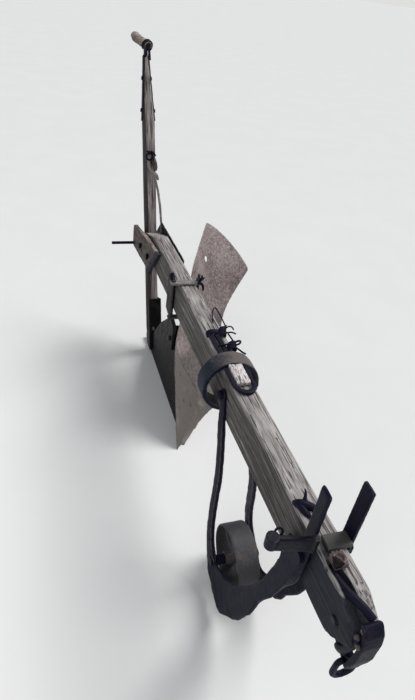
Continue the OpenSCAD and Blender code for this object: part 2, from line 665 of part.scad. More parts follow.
module wheel() {
  r = wheel_d / 2;
  color("dimgray") translate([0, -axle_y, r]) rotate([0, 90, 0]) difference() {
    union() {
      difference() {
        translate([0, 0, -wheel_w / 2]) cylinder(r = r, h = wheel_w, $fn = 96);
        translate([0, 0, -wheel_w]) cylinder(r = r - rim_t, h = 2 * wheel_w, $fn = 96);
      }
      translate([0, 0, -hub_l / 2]) cylinder(d = hub_d, h = hub_l);
      for (a = [20:90:360]) rotate([0, 0, a]) translate([0, -5, -14]) cube([r - rim_t / 2, 10, 28]);
    }
    translate([0, 0, -hub_l]) cylinder(d = axle_d + 2 * axle_gap, h = 2 * hub_l);
  }
}

// Clamp on the tines: a rounded bar on the right tine, a plate on the beam, a vertical bolt with its square nut and a small eye.
bar_z = top_z(-tine_y) + 9;
bar_h = 16;
bar_turn = 12;
bar_reach = 64;
module clamp_bar() {
  x0 = -fork_x - fork_t;
  z = bar_z;
  color("dimgray") difference() {
    translate([x0, -tine_y, z]) rotate([0, 0, -bar_turn]) {
      translate([-bar_reach, -11, 0]) cube([bar_reach + fork_t + 8, 22, bar_h]);
      translate([-bar_reach, 0, 0]) cylinder(d = 25, h = bar_h);
      translate([fork_t + 8, 0, 0]) cylinder(d = 22, h = bar_h);
      translate([-9, -tine_w / 2 - 7, 0]) cube([fork_t + 18, tine_w + 14, bar_h]);
    }
    translate([x0 - seat, -tine_y - tine_w / 2 - seat, z - 1]) cube([fork_t + 2 * seat, tine_w + 2 * seat, 40]);
  }
}

module clamp_plate() {
  color("slategray") on_beam() translate([-12, -tine_y - 26, seat]) cube([bw + left_gap + 12 - 1, 32, 7]);
}

nut_w = 26;
module clamp_nut() {
  color("rosybrown") {
    on_beam() translate([0, -nut_y, 0]) {
      difference() {
        union() {
          translate([-nut_w / 2, -nut_w / 2, seat]) cube([nut_w, nut_w, 15]);
          translate([0, 0, seat + 14]) cylinder(d = nut_w - 2, h = 5);
        }
        translate([0, 0, 12]) cylinder(d = nut_w - 12, h = 30);
      }
      translate([0, 0, -beam_h - 14]) cylinder(d = nut_bolt_d, h = beam_h + 28);
      translate([0, 0, -beam_h - 10 - seat]) cylinder(d = 28, h = 10, $fn = 6);
    }
  }
}

ring_eye = 17;
module eye_bolt() {
  color("dimgray") translate([-fork_x - fork_t - 48, -tine_y + 12, bar_z + bar_h + seat]) {
    difference() {
      union() {
        translate([0, 3, ring_eye / 2 + 2]) rotate([90, 0, 0]) cylinder(d = ring_eye, h = 6);
        cylinder(d = 8, h = 8);
      }
      translate([0, 9, ring_eye / 2 + 2]) rotate([90, 0, 0]) cylinder(d = 8, h = 20);
    }
  }
}

// Hitch: a strap let into the beam's top and bent over the nose into an eye, an arm from the eye back under the beam, a cross pin and the draught link.
eye_y = -beam_nose - 12;
eye_z = low_z(-beam_nose) - 14;
eye_d = link_d + 14;
eye_w = 18;
arm_l = 68;
arm_t = 8;
// the strap's outer line, [ahead of the nose, below the beam's top]
strap_line = [[-24, -2], [-6, -3], [10, -2], [24, 4], [34, 18], [39, 42], [38, 90], [30, 130]];
module nose_strap() {
  x = strap_w / 2;
  n = len(strap_line) - 1;
  function out(i) = strap_line[i];
  function inward(i) = let(q = out(min(n, i + 1)) - out(max(0, i - 1)), l = norm(q))
    out(i) + [-q[1], q[0]] / l * strap_t;
  function spot(p) = [-beam_nose - p[0], top_z(-beam_nose - min(0, p[0])) - p[1]];
  color("dimgray") difference() {
    union() {
      across(-x, x) polygon(concat([for (i = [1:n]) spot(out(i))], [for (i = [n:-1:1]) spot(inward(i))]));
      across(-tongue_w / 2, tongue_w / 2) polygon([spot(out(2)), spot(out(1)), spot(out(0)), spot([-slot_l + 2, 3]), spot([-slot_l + 2, slot_deep - seat]), spot([10, slot_deep - seat])]);
      translate([-eye_w / 2, eye_y, eye_z]) rotate([0, 90, 0]) cylinder(d = eye_d, h = eye_w);
      across(-eye_w / 2, eye_w / 2) polygon([spot(out(n - 1)), spot(out(n)), [eye_y, eye_z - eye_d / 2], [eye_y, eye_z + eye_d / 2], spot(inward(n - 1))]);
      across(-eye_w / 2, eye_w / 2) polygon([
        [arm_l - beam_nose, low_z(arm_l - beam_nose) - seat], [50 - beam_nose, low_z(50 - beam_nose) - seat],
        [eye_y, eye_z + eye_d / 2 - 1], [eye_y, eye_z - eye_d / 2 + 1],
        [40 - beam_nose, low_z(40 - beam_nose) - arm_t - seat], [arm_l - beam_nose, low_z(arm_l - beam_nose) - arm_t - seat]]);
    }
    translate([-50, eye_y, eye_z]) rotate([0, 90, 0]) cylinder(d = link_d + 2 * link_gap, h = 100);
    for (s = [-1, 1]) translate([s > 0 ? eye_w / 2 : -40 - eye_w / 2, eye_y - 40, eye_z - 40]) cube([40, 80, 40 + 22]);
  }
}
link_gap = 0.08;

module nose_pin() {
  end = 3;
  color("dimgray") translate([-bw - end, -nose_pin_y, nose_pin_z]) rotate([0, 90, 0]) cylinder(d = nose_pin_d, h = beam_w + 2 * end);
}

module draught_link() {
  half = (link_w - link_d) / 2;
  bend = link_d * 0.8;
  long = link_l - link_d;
  color("dimgray") translate([0, eye_y, eye_z]) {
    translate([bend - half, 0, 0]) rotate([0, 90, 0]) cylinder(d = link_d, h = 2 * (half - bend), $fn = 32);
    for (side = [0, 1]) mirror([side, 0, 0]) {
      translate([half - bend, 0, -bend]) rotate([90, 0, 0]) rotate_extrude(angle = 90) translate([bend, 0]) circle(d = link_d, $fn = 32);
      translate([half, 0, half - long]) cylinder(d = link_d, h = long - half - bend, $fn = 32);
    }
    translate([0, 0, half - long]) rotate([90, 0, 0]) rotate([0, 0, 180]) rotate_extrude(angle = 180) translate([half, 0]) circle(d = link_d, $fn = 32);
  }
}
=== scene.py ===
import json
import math

import bmesh
import bpy
import numpy as np
from mathutils import Matrix, Vector, noise


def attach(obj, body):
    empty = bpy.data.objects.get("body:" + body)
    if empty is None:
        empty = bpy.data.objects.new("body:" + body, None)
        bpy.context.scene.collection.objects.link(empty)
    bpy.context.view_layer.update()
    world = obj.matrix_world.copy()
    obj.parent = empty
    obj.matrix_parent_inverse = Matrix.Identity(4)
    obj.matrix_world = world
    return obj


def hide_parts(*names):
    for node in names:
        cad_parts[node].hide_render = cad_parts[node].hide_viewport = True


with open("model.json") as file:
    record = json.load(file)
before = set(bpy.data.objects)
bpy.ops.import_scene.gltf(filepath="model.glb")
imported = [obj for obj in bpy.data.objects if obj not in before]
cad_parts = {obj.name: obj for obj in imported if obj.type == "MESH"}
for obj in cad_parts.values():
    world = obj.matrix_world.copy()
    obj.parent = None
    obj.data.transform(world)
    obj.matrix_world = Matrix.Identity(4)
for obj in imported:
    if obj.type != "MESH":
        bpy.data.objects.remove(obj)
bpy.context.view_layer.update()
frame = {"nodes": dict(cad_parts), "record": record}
nodes = frame["nodes"]

# Studio: the camera stands ahead of the plough on its right, at chest height,
# and looks down along the beam. A soft sun from behind on the left, a panel
# ahead on the right and a pale sky light one pale sheet of floor.
camera_data = bpy.data.cameras.new("camera")
camera_data.lens = 27.54
camera_data.sensor_width = 36
camera_data.clip_end = 300
camera = bpy.data.objects.new("camera", camera_data)
camera_right = Vector((0.9518, -0.2818, 0.121))
camera_up = Vector((0.0728, 0.5907, 0.8036))
camera_back = Vector((-0.2979, -0.7561, 0.5827))
camera_turn = Matrix((camera_right, camera_up, camera_back)).transposed().to_4x4()
camera.matrix_world = Matrix.Translation((-0.5837, -1.3289, 1.3805)) @ camera_turn
bpy.context.scene.collection.objects.link(camera)
bpy.context.scene.camera = camera
bpy.context.scene.view_settings.view_transform = "Standard"


class Tone:
    """A socket in a node tree. Sums and products of tones add Math nodes."""

    def __init__(self, tree, socket):
        self.tree = tree
        self.socket = socket

    def add(self, kind, settings=None, values=None, out=0):
        node = self.tree.nodes.new("ShaderNode" + kind)
        for key, setting in (settings or {}).items():
            setattr(node, key, setting)
        for key, value in (values or {}).items():
            if isinstance(value, Tone):
                self.tree.links.new(value.socket, node.inputs[key])
            else:
                node.inputs[key].default_value = value
        return Tone(self.tree, node.outputs[out])

    def math(self, operation, *terms):
        return self.add("Math", {"operation": operation}, dict(enumerate(terms)))

    def __add__(self, other):
        return self.math("ADD", self, other)

    def __mul__(self, other):
        return self.math("MULTIPLY", self, other)

    def __sub__(self, other):
        return self.math("SUBTRACT", self, other)

    def __rsub__(self, other):
        return self.math("SUBTRACT", other, self)

    __radd__ = __add__
    __rmul__ = __mul__


def new_finish(name):
    """A new material, its shader node and the place on the object."""
    material = bpy.data.materials.new(name)
    material.use_nodes = True
    tree = material.node_tree
    shader = tree.nodes["Principled BSDF"]
    return material, shader, Tone(tree, tree.nodes.new("ShaderNodeTexCoord").outputs["Object"])


def feed(shader, **values):
    """Gives the shader's sockets their links or their fixed values."""
    for key, value in values.items():
        target = shader.inputs[key.replace("_", " ")]
        if isinstance(value, Tone):
            value.tree.links.new(value.socket, target)
        else:
            target.default_value = value


def speckle(place, scale, detail=3.0, rough=0.55, stretch=(1, 1, 1), turn=(0, 0, 0)):
    """Noise whose marks are stretch times as long along each turned axis."""
    spot = place.add("Mapping", {"vector_type": "TEXTURE"},
                     {"Vector": place, "Rotation": turn, "Scale": stretch})
    return spot.add("TexNoise", None, {"Vector": spot, "Scale": scale, "Detail": detail, "Roughness": rough})


def between(tone, low, high):
    return tone.add("MapRange", {"interpolation_type": "SMOOTHSTEP"}, {0: tone, 1: low, 2: high})


def mixed(mask, base, top):
    """The top colour over the base colour where the mask is 1."""
    sides = [side if isinstance(side, Tone) else (*side, 1) for side in (base, top)]
    return mask.add("Mix", {"data_type": "RGBA"}, {0: mask, 6: sides[0], 7: sides[1]}, 2)


def bumped(height, strength, distance):
    return height.add("Bump", None, {"Height": height, "Strength": strength, "Distance": distance})


bpy.ops.object.select_all(action="DESELECT")
bpy.ops.mesh.primitive_plane_add(size=120)
floor = bpy.context.object
floor.name = "floor"
floor_paint, floor_shader, floor_place = new_finish("floor_paint")
haze = speckle(floor_place, 3, 4, 0.6)
floor_colour = mixed(between(haze, 0.35, 0.7), (0.765, 0.762, 0.75), (0.78, 0.777, 0.765))
feed(floor_shader, Base_Color=floor_colour, Roughness=0.85, Specular_IOR_Level=0.1)
floor.data.materials.append(floor_paint)


def lamp(kind, name, place, target, size, power):
    data = bpy.data.lights.new(name, kind)
    if kind == "SUN":
        data.angle = size
    else:
        data.size = size
    data.energy = power
    light = bpy.data.objects.new(name, data)
    light.location = place
    light.rotation_euler = (Vector(target) - Vector(place)).to_track_quat("-Z", "Y").to_euler()
    bpy.context.scene.collection.objects.link(light)


lamp("SUN", "soft_sun", (1.6, 0.7, 2.6), (0, 0, 0.3), 0.5, 2.35)
lamp("AREA", "front_panel", (-2.2, -2.6, 2.2), (0, 0, 0.4), 2.4, 26)
world = bpy.data.worlds.new("studio")
world.use_nodes = True
sky = world.node_tree.nodes["Background"]
rays = world.node_tree.nodes.new("ShaderNodeLightPath")
seen, shiny, through = [Tone(world.node_tree, rays.outputs[f"Is {kind} Ray"])
                        for kind in ("Camera", "Glossy", "Transmission")]
sky_light, backdrop = (0.39, 0.40, 0.42), (0.74, 0.74, 0.73)
sky_colour = mixed(seen + (shiny + through) * 0.35, sky_light, backdrop)
world.node_tree.links.new(sky_colour.socket, sky.inputs["Color"])
bpy.context.scene.world = world

# Beam: one hewn oak timber, grey from age and silvery on top, partly from weathering and partly painted
# light, with painted shade on its sides, long drying cracks painted dark as shade, a furry face and rounded
# edges. It carries everything else.


def at(x, y, z):
    """A place in metres from millimetres off the foot of the beam's midline."""
    return Vector((x - 114.6, y - 96, z)) / 1000


def beam_top(y):
    return 545 - y * math.tan(math.radians(1.9))


def evened(piece, voxel, soften):
    """Cuts the active piece into even faces and softens its edges."""
    remesh = piece.modifiers.new("even", "REMESH")
    remesh.mode = "VOXEL"
    remesh.voxel_size = voxel
    bpy.ops.object.modifier_apply(modifier="even")
    smooth = piece.modifiers.new("soft", "SMOOTH")
    smooth.iterations = soften
    bpy.ops.object.modifier_apply(modifier="soft")
    bpy.ops.object.shade_smooth()
    return piece


def merged():
    """Joins the points of the active piece that lie on each other."""
    bpy.ops.object.mode_set(mode="EDIT")
    bpy.ops.mesh.select_all(action="SELECT")
    bpy.ops.mesh.remove_doubles(threshold=0.00001)
    bpy.ops.object.mode_set(mode="OBJECT")


def even_copy(node, name, voxel, soften=2):
    """A copy of a CAD piece, merged and cut into even faces, to be worn."""
    bpy.ops.object.select_all(action="DESELECT")
    piece = bpy.data.objects.new(name, nodes[node].data.copy())
    bpy.context.scene.collection.objects.link(piece)
    piece.select_set(True)
    bpy.context.view_layer.objects.active = piece
    merged()
    return evened(piece, voxel, soften)


# without a seed noise_vector starts from the clock and the cracks differ in each run
noise.seed_set(5)


def nearness(piece, name, lines, wander=0.0):
    """Notes how near each point is to the lines, from 0 at 20 mm to 1 on one.

    The attribute with _side at its name's end tells the distance across the
    line, in 20 mm, with its sign, so that a line stays thin between points.
    """
    reach = 0.02
    places = np.empty(len(piece.data.vertices) * 3)
    normals = np.empty(len(places))
    piece.data.vertices.foreach_get("co", places)
    piece.data.vertex_normals.foreach_get("vector", normals)
    places, normals = places.reshape(-1, 3), normals.reshape(-1, 3)
    if wander:
        places = places + np.array([noise.noise_vector(Vector(place) * 22) for place in places]) * wander
    away = np.full(len(places), reach)
    side = np.full(len(places), reach)
    for line in lines:
        ends = [np.array(at(*place)) for place in line]
        for a, b in zip(ends, ends[1:]):
            off = places - a
            share = np.clip(off @ (b - a) / ((b - a) @ (b - a)), 0, 1)
            off = off - share[:, None] * (b - a)
            length = np.linalg.norm(off, axis=1)
            closer = length < away
            across = (np.cross(off, b - a) * normals).sum(axis=1)
            side[closer] = np.copysign(length, across)[closer]
            away[closer] = length[closer]
    near = (1 - away / reach).astype(np.float32)
    for key, value in ((name, near), (name + "_side", (side / reach).astype(np.float32))):
        piece.data.attributes.new(key, "FLOAT", "POINT").data.foreach_set("value", value)
    return near


def worn(piece, sink, cracks=(), crack_depth=0.005):
    """Sinks each point along its normal, opens the cracks and notes the edges.

    The attribute proud tells how far a point stands out of its neighbours, and
    crack how near it is to a crack, from 0 at 20 mm to 1 on it.
    """
    mesh = piece.data
    count = len(mesh.vertices)
    places = np.empty(count * 3)
    normals = np.empty(count * 3)
    pairs = np.empty(len(mesh.edges) * 2, np.int32)
    mesh.vertices.foreach_get("co", places)
    mesh.vertex_normals.foreach_get("vector", normals)
    mesh.edges.foreach_get("vertices", pairs)
    places, normals, pairs = places.reshape(-1, 3), normals.reshape(-1, 3), pairs.reshape(-1, 2)
    depth = np.array([sink(Vector(place), Vector(normal)) for place, normal in zip(places, normals)])
    if cracks:
        crack = nearness(piece, "crack", cracks, 0.003)
        depth += crack_depth * np.clip(1.15 - (1 - crack) / 0.15, 0, 1)
    places = places - normals * depth[:, None]
    mesh.vertices.foreach_set("co", places.ravel())
    mesh.update()
    one = np.concatenate((pairs[:, 0], pairs[:, 1]))
    other = np.concatenate((pairs[:, 1], pairs[:, 0]))
    near = np.maximum(np.bincount(one, minlength=count), 1)
    step = np.linalg.norm(places[one] - places[other], axis=1).mean()
    rise = ((places[one] - places[other]) * normals[one]).sum(axis=1)
    proud = np.bincount(one, rise, count) / near / step
    for _ in range(2):
        proud = (proud + np.bincount(one, proud[other], count) / near) / 2
    mesh.attributes.new("proud", "FLOAT", "POINT").data.foreach_set("value", proud.astype(np.float32))


def noted(place, name):
    return place.add("Attribute", {"attribute_name": name}, None, 2)


def component(tone, axis):
    return tone.add("SeparateXYZ", None, {0: tone}, axis)


def outward(place):
    """The direction that the surface faces."""
    return Tone(place.tree, place.socket.node.outputs["Normal"])


def measured(operation, tone, other):
    """The dot product with a direction or the distance to a place."""
    return tone.add("VectorMath", {"operation": operation}, {0: tone, 1: other}, 1)


def timber(name, pale, dark, stretch=(1, 26, 1), turn=(0, 0, 0), bleach_and_side_shade=0.5, darkening=None):
    """Weathered wood: paler above from bleaching and painted light, with painted shade at its sides, worn
    edges painted pale as highlight, painted shade in its cracks, and furry.
    """
    material, shader, place = new_finish(name)
    fibre = speckle(place, 300, 4, 0.65, stretch, turn)
    streak = speckle(place, 110, 3, 0.6, stretch, turn)
    band = speckle(place, 34, 3, 0.55, stretch, turn)
    cloud = speckle(place, 9, 4, 0.6)
    long = [1 if length == 1 else length * 2.4 for length in stretch]
    # Painted shade: fine checks are thin dark lines painted where shade would lie inside them.
    check_shade = between(speckle(place, 250, 2, 0.5, long, turn), 0.585, 0.64)
    gap = noted(place, "crack_side").math("ABSOLUTE") + (fibre - 0.5) * 0.06
    # Painted shade: the cracks opened in the mesh are painted nearly black along their middle, as the shade
    # inside them.
    crack_shade = between(gap, 0.085, 0.035) * between(noted(place, "crack"), 0.78, 0.86)
    edge = between(noted(place, "proud"), 0.06, 0.2)
    up = component(outward(place), 2)
    # Painted light and shade: faces turned up stay pale, and faces turned to the sides or down are painted
    # nearly black, over real bleaching on top.
    sky = between(up, -0.15, 0.75) * bleach_and_side_shade + (1 - bleach_and_side_shade)
    line = between(fibre * 0.62 + streak * 0.38, 0.41, 0.56)
    colour = mixed(line, dark, pale)
    shade = between(band * 0.5 + cloud * 0.5, 0.42, 0.58) * 0.55 + 0.45
    colour = mixed(shade, [value * 0.45 for value in pale], colour)
    # Painted highlight with wear: edges that stand out are painted paler than the wood.
    colour = mixed(edge * 0.45, colour, [value * 1.35 for value in pale])
    colour = mixed((1 - sky) * 0.97, colour, [value * 0.16 for value in dark])
    colour = mixed(check_shade * 0.8, colour, (0.022, 0.018, 0.017))
    colour = mixed(crack_shade * 0.97, colour, (0.008, 0.007, 0.008))
    if darkening:
        colour = darkening(place, colour)
    height = fibre * 0.35 + streak * 0.45 + band * 0.3 - check_shade * 0.8 - crack_shade * 1.2
    feed(shader, Base_Color=colour, Roughness=0.9 - line * 0.15, Specular_IOR_Level=0.3,
         Normal=bumped(height, 0.9, 0.0022))
    return material


def dress(piece, node, finish, body="plough"):
    """Puts a finished piece in the place of a CAD piece, on its body."""
    piece.data.materials.clear()
    piece.data.materials.append(finish)
    if node:
        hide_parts(node)
    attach(piece, body)


def nose_darkening(place, colour):
    """The nose is painted nearly black towards its front, most at its sides and least on the upward faces of
    its top's left half, and pale streaks of painted highlight lie on its top.
    """
    x = component(place, 0)
    y = component(place, 1)
    up = component(outward(place), 2)
    patch = speckle(place, 26, 4, 0.6, (1, 4, 1))
    right_half = between(0 - x - y * 0.12 + (patch - 0.5) * 0.010, 0.222, 0.229)
    bare = between(up, 0.2, 0.8) * (1 - right_half * 0.78)
    reach = between(0 - y + (patch - 0.5) * 0.16 - bare * 0.235, 0.77, 0.84)
    colour = mixed(reach * 0.96, colour, (0.009, 0.011, 0.019))
    scratch = speckle(place, 170, 4, 0.6, (1, 9, 1))
    # Painted highlight: pale streaks along the listed lines on the nose's top.
    highlight_streak = between(noted(place, "highlight_streak") + (scratch - 0.5) * 1.3, 0.6, 0.95)
    return mixed(highlight_streak * 0.8, colour, (0.30, 0.285, 0.275))


beam_cracks = [[(x, y, beam_top(y)) for x, y in line] for line in (
    [(-23, 36), (-10, 17), (-2, -6), (5, -34)],
    [(4, -361), (11, -448), (16, -532), (6, -598), (5, -635), (8, -657)],
    [(22, 174), (20, 79), (16, -36), (16, -66)],
    [(-22, 145), (-24, 24), (-27, -83)],
    [(14, -417), (11, -500), (14, -576)],
    [(4, -829), (5, -867), (16, -891)],
    [(-14, 250), (-8, 330), (-10, 420), (-4, 520)],
    [(10, 270), (14, 380), (9, 470)],
    [(-18, -400), (-15, -470), (-20, -560), (-17, -640)],
    [(22, -700), (24, -770), (20, -850)],
)]
beam_cracks += [[(side, y, z) for y, z in line] for side, line in (
    (-30, [(420, 480), (250, 488), (120, 492), (20, 500)]),
    (-30, [(-280, 502), (-400, 500), (-540, 512), (-690, 510)]),
    (-30, [(-330, 470), (-450, 474), (-520, 470)]),
    (30, [(330, 500), (180, 505), (60, 500), (-90, 512)]),
    (30, [(-300, 490), (-420, 500), (-560, 498), (-700, 515), (-840, 512)]),
    (30, [(-380, 530), (-500, 538), (-600, 536)]),
)]


def beam_wear(place, normal):
    furrow = noise.noise(Vector((place.x * 150, place.y * 3, place.z * 150)))
    wave = noise.noise(Vector((place.x * 9, place.y * 4, place.z * 9)) + Vector((5, 1, 8)))
    hair = noise.noise(Vector((place.x * 260, place.y * 9, place.z * 260)))
    return 0.0008 + 0.0012 * max(furrow, 0) + 0.0012 * wave + 0.0005 * hair


# Painted highlight: lines of pale streaks on the nose's top, standing for glints on the greasy wood.
beam_highlight_streaks = [[(x, y, beam_top(y)) for x, y in line] for line in (
    [(-27, -772), (-28, -795), (-26, -812)], [(-28, -826), (-28, -850), (-27, -872), (-24, -893)],
)]


def ramp(value, start, span):
    """From 0 at the start to 1 where the span ends, and level beyond."""
    return min(max((value - start) / span, 0), 1)


def steered(piece):
    """Turns the nose groove, and the iron in it, towards the clamp nut."""
    midline = 0.1146
    for point in piece.data.vertices:
        back = ramp(point.co.y, -0.983, 0.057) * ramp(point.co.y, -0.89, -0.02)
        near = ramp(abs(point.co.x + midline), 0.030, -0.020)
        if point.co.z > 0.545:
            point.co.x -= 0.013 * back * near


def filled(piece):
    """The nose's wood reaches forward into the iron band."""
    for point in piece.data.vertices:
        ahead = ramp(point.co.y, -0.979, -0.022) * ramp(point.co.z, 0.485, 0.03)
        point.co.y -= 0.023 * ahead


beam = even_copy("beam", "beam_timber", 0.0034)
steered(beam)
filled(beam)
worn(beam, beam_wear, beam_cracks, 0.0032)
nearness(beam, "highlight_streak", beam_highlight_streaks, 0.003)
beam_wood = timber("beam_wood", (0.47, 0.44, 0.425), (0.12, 0.105, 0.098), bleach_and_side_shade=0.85, darkening=nose_darkening)
dress(beam, "beam", beam_wood)

# Tail: a thick plank on the beam's right side and an iron plate on its left
# hold the stilt between them. The stilt's socket, the landside and the
# standard are of the same brown forged iron as the plate.


def iron(name, dark, rust, rusting=0.5, rough=0.5, scale=1.0, edge_wear_and_highlight=(0.16, 0.155, 0.16), dust_and_top_light=0.0,
         gloss=0.4):
    """Old iron: a dark skin, rust in clouds and pits, worn edges painted pale as highlight, and a dusty top
    painted lighter as if lit.
    """
    material, shader, place = new_finish(name)
    cloud = speckle(place, 14 * scale, 5, 0.62)
    grit = speckle(place, 150 * scale, 5, 0.7)
    pit = speckle(place, 380, 2, 0.5)
    edge = between(noted(place, "proud") + (grit - 0.5) * 0.12, 0.07, 0.24)
    mask = between(cloud * 0.62 + grit * 0.38, 0.64 - 0.24 * rusting, 0.72 - 0.16 * rusting)
    colour = mixed(mask, dark, rust)
    colour = mixed(between(pit, 0.56, 0.70) * 0.5, colour, [value * 0.4 for value in dark])
    if dust_and_top_light:
        # Painted light with dust: faces turned up and towards the sun's side are painted paler.
        lit = measured("DOT_PRODUCT", outward(place), (0.4, -0.1, 0.75))
        colour = mixed(between(lit + (cloud - 0.5) * 1.4, 0.2, 0.8) * dust_and_top_light, colour, (0.125, 0.108, 0.10))
    # Painted highlight with wear: edges that stand out are painted pale.
    colour = mixed(edge * 0.5, colour, edge_wear_and_highlight)
    feed(shader, Base_Color=colour, Roughness=mask * 0.25 + rough - edge * 0.12, Specular_IOR_Level=gloss,
         Normal=bumped(grit * 0.6 + pit * 0.3 + cloud * 0.5, 0.55, 0.0014))
    return material


def plank_wear(place, normal):
    furrow = noise.noise(Vector((place.x * 90, place.y * 5, place.z * 70)) + Vector((2, 7, 3)))
    wave = noise.noise(place * 14)
    return 0.0006 + 0.0012 * max(furrow, 0) + 0.0011 * wave


def dented(place, normal):
    """Hammer marks and scale on forged iron."""
    blow = noise.noise(place * 38)
    scale = noise.noise(place * 150)
    return 0.0002 + 0.0006 * blow + 0.0003 * scale


dark_iron = iron("dark_iron", (0.006, 0.0055, 0.017), (0.018, 0.014, 0.023), 0.4, 0.5, gloss=0.1)
brown_iron = iron("brown_iron", (0.006, 0.0053, 0.0065), (0.024, 0.018, 0.017), 0.55, 0.5, 1.3, gloss=0.1)
plate_iron = iron("plate_iron", (0.05, 0.05, 0.046), (0.11, 0.10, 0.088), 0.5, 0.55)


def painted_front_shade(place, colour):
    """The plank's slanting front end is painted blue-black as shade."""
    ahead = measured("DOT_PRODUCT", place, (0, -0.75, -0.66))
    ragged = ahead + (speckle(place, 60) - 0.5) * 0.02
    return mixed(between(ragged, -0.645, -0.636) * 0.93, colour, (0.011, 0.012, 0.026))


plank_wood = timber("plank_wood", (0.36, 0.31, 0.28), (0.10, 0.078, 0.07), (1, 14, 1), bleach_and_side_shade=0.8,
                    darkening=painted_front_shade)
cheek = even_copy("tail_cheek", "cheek_plank", 0.0025)
rear_foot = at(0, 842, 387)
plank_length, plank_height = 0.305, 0.095
for point in cheek.data.vertices:
    # the plank's front end is cut on a slant and stands higher
    ahead = (rear_foot.y - point.co.y) / plank_length
    up = ramp(point.co.z, rear_foot.z, plank_height)
    tip = ramp(ahead, 0.72, 0.24)
    point.co.y += tip * (0.034 * (1 - up) ** 2 - 0.081 * up ** 2)
    point.co.z += 0.039 * max(ahead, 0) * up ** 3 - 0.021 * tip * (1 - up) ** 3
cheek_cracks = [[(-47, y, z) for y, z in line] for line in (
    [(700, 480), (600, 476), (520, 482)], [(560, 440), (480, 446), (430, 440)], [(660, 452), (600, 448)],
)]
worn(cheek, plank_wear, cheek_cracks, 0.003)
dress(cheek, "tail_cheek", plank_wood)
for node, name, voxel in (("tail_plate", "side_plate", 0.0025), ("socket", "foot_socket", 0.0025),
                          ("landside", "land_plate", 0.003), ("standard", "standard_bar", 0.002)):
    piece = even_copy(node, name, voxel, 1)
    worn(piece, dented)
    dress(piece, node, brown_iron)

# Stilt: one square wooden pole, held at the beam's tail and tapered towards the grip. Its right face has
# painted shade, and its front has pale and dark grain.
stilt_lean = math.radians(23.6)


def stilt_wear(place, normal):
    along = place.z * math.cos(stilt_lean) + place.y * math.sin(stilt_lean)
    ahead = place.y * math.cos(stilt_lean) - place.z * math.sin(stilt_lean)
    furrow = noise.noise(Vector((place.x * 130, ahead * 130, along * 3.5)))
    wave = noise.noise(Vector((place.x * 12, ahead * 12, along * 5)))
    return 0.0004 + 0.0012 * max(furrow, 0) + 0.0009 * wave


def leant(piece, narrowing=0.0):
    """Brings a piece of the stilt to its slot in the tail and narrows its top."""
    stilt_line = 0.1316
    for point in piece.data.vertices:
        point.co.x -= 0.0075
        high = ramp(point.co.z, 0.85, 0.23)
        point.co.x -= narrowing * high * (point.co.x + stilt_line)


def cut_off(place, direction):
    """Takes away what the active piece has beyond a plane and closes it."""
    bpy.ops.object.mode_set(mode="EDIT")
    bpy.ops.mesh.select_all(action="SELECT")
    bpy.ops.mesh.bisect(plane_co=place, plane_no=direction, use_fill=True, clear_outer=True)
    bpy.ops.object.mode_set(mode="OBJECT")


stilt_narrowing = 0.28
stilt = even_copy("stilt", "stilt_pole", 0.0026, 0)
for point in stilt.data.vertices:
    # the point reaches into the grip's ring
    point.co += Vector((0, 0.4, 0.92)) * 0.018 * ramp(point.co.z, 1.02, 0.078)
leant(stilt, stilt_narrowing)
cut_off(at(-15, 592, 99), (-0.8, -0.6 * math.cos(stilt_lean), 0.6 * math.sin(stilt_lean)))
evened(stilt, 0.0024, 2)
worn(stilt, stilt_wear)
stilt_turn = (-stilt_lean, 0, 0)


# Painted shade: faces turned to the plough's right, away from the sun, are painted dark.
def painted_right_shade(place, colour):
    x = component(outward(place), 0)
    return mixed(between(0 - x, 0.2, 0.45) * 0.9, colour, (0.026, 0.021, 0.023))


stilt_wood = timber("stilt_wood", (0.52, 0.465, 0.45), (0.12, 0.10, 0.093), (1, 1, 22), stilt_turn, 0.7,
                    painted_right_shade)
dress(stilt, "stilt", stilt_wood)

# Grip: a turned hand piece of pale wood with a dark end, in an iron ring on
# the stilt's point. Two riveted straps run from the ring down the stilt.


def seated(piece):
    """Brings the grip and its ring onto the stilt's point."""
    for point in piece.data.vertices:
        out = ramp(point.co.y, 0.945, 0.065)
        point.co.x -= 0.014 - 0.005 * out
        point.co.z += 0.013 * (1 - out) - 0.001


grip = even_copy("grip", "hand_grip", 0.0016, 3)
seated(grip)


def grip_wear(place, normal):
    return 0.0003 + 0.0007 * noise.noise(place * 60) + 0.0004 * max(noise.noise(place * 220), 0)


worn(grip, grip_wear)
grip_turn = (0, math.radians(70), math.radians(25))


# Painted shade: the grip's wood inside the iron ring's hollow is painted nearly black.
def ring_hollow_shade(place, colour):
    near = measured("DISTANCE", place, at(6, 1024, 1096))
    return mixed(between(near, 0.017, 0.012) * 0.9, colour, (0.018, 0.015, 0.018))


grip_wood = timber("grip_wood", (0.50, 0.45, 0.385), (0.22, 0.185, 0.15), (1, 1, 14), grip_turn, 0.6,
                   ring_hollow_shade)
dress(grip, "grip", grip_wood)
ring = even_copy("ferrule", "grip_ring", 0.0014, 2)
seated(ring)
worn(ring, dented)
dress(ring, "ferrule", dark_iron)
straps = even_copy("stilt_irons", "stilt_straps", 0.0016, 2)
leant(straps, stilt_narrowing)
worn(straps, dented)
dress(straps, "stilt_irons", dark_iron)

# Share and wing: a wrought share and a rolled wing, one twisted sheet split at
# a seam, held to the frog with four flush bolts. Rust has pitted the wing.
# Each row of the edges has the upper and the lower one, in millimetres.
sheet_edges = (
    ((-37, 0, 0), (-9, 0, 0)),
    ((-31, 100, 145), (70, 115, 0)),
    ((-14, 222, 300), (150, 190, 0)),
    ((48, 345, 408), (222, 285, 40)),
    ((95, 455, 485), (250, 477, 215)),
    ((210, 708, 536), (380, 596, 378)),
)


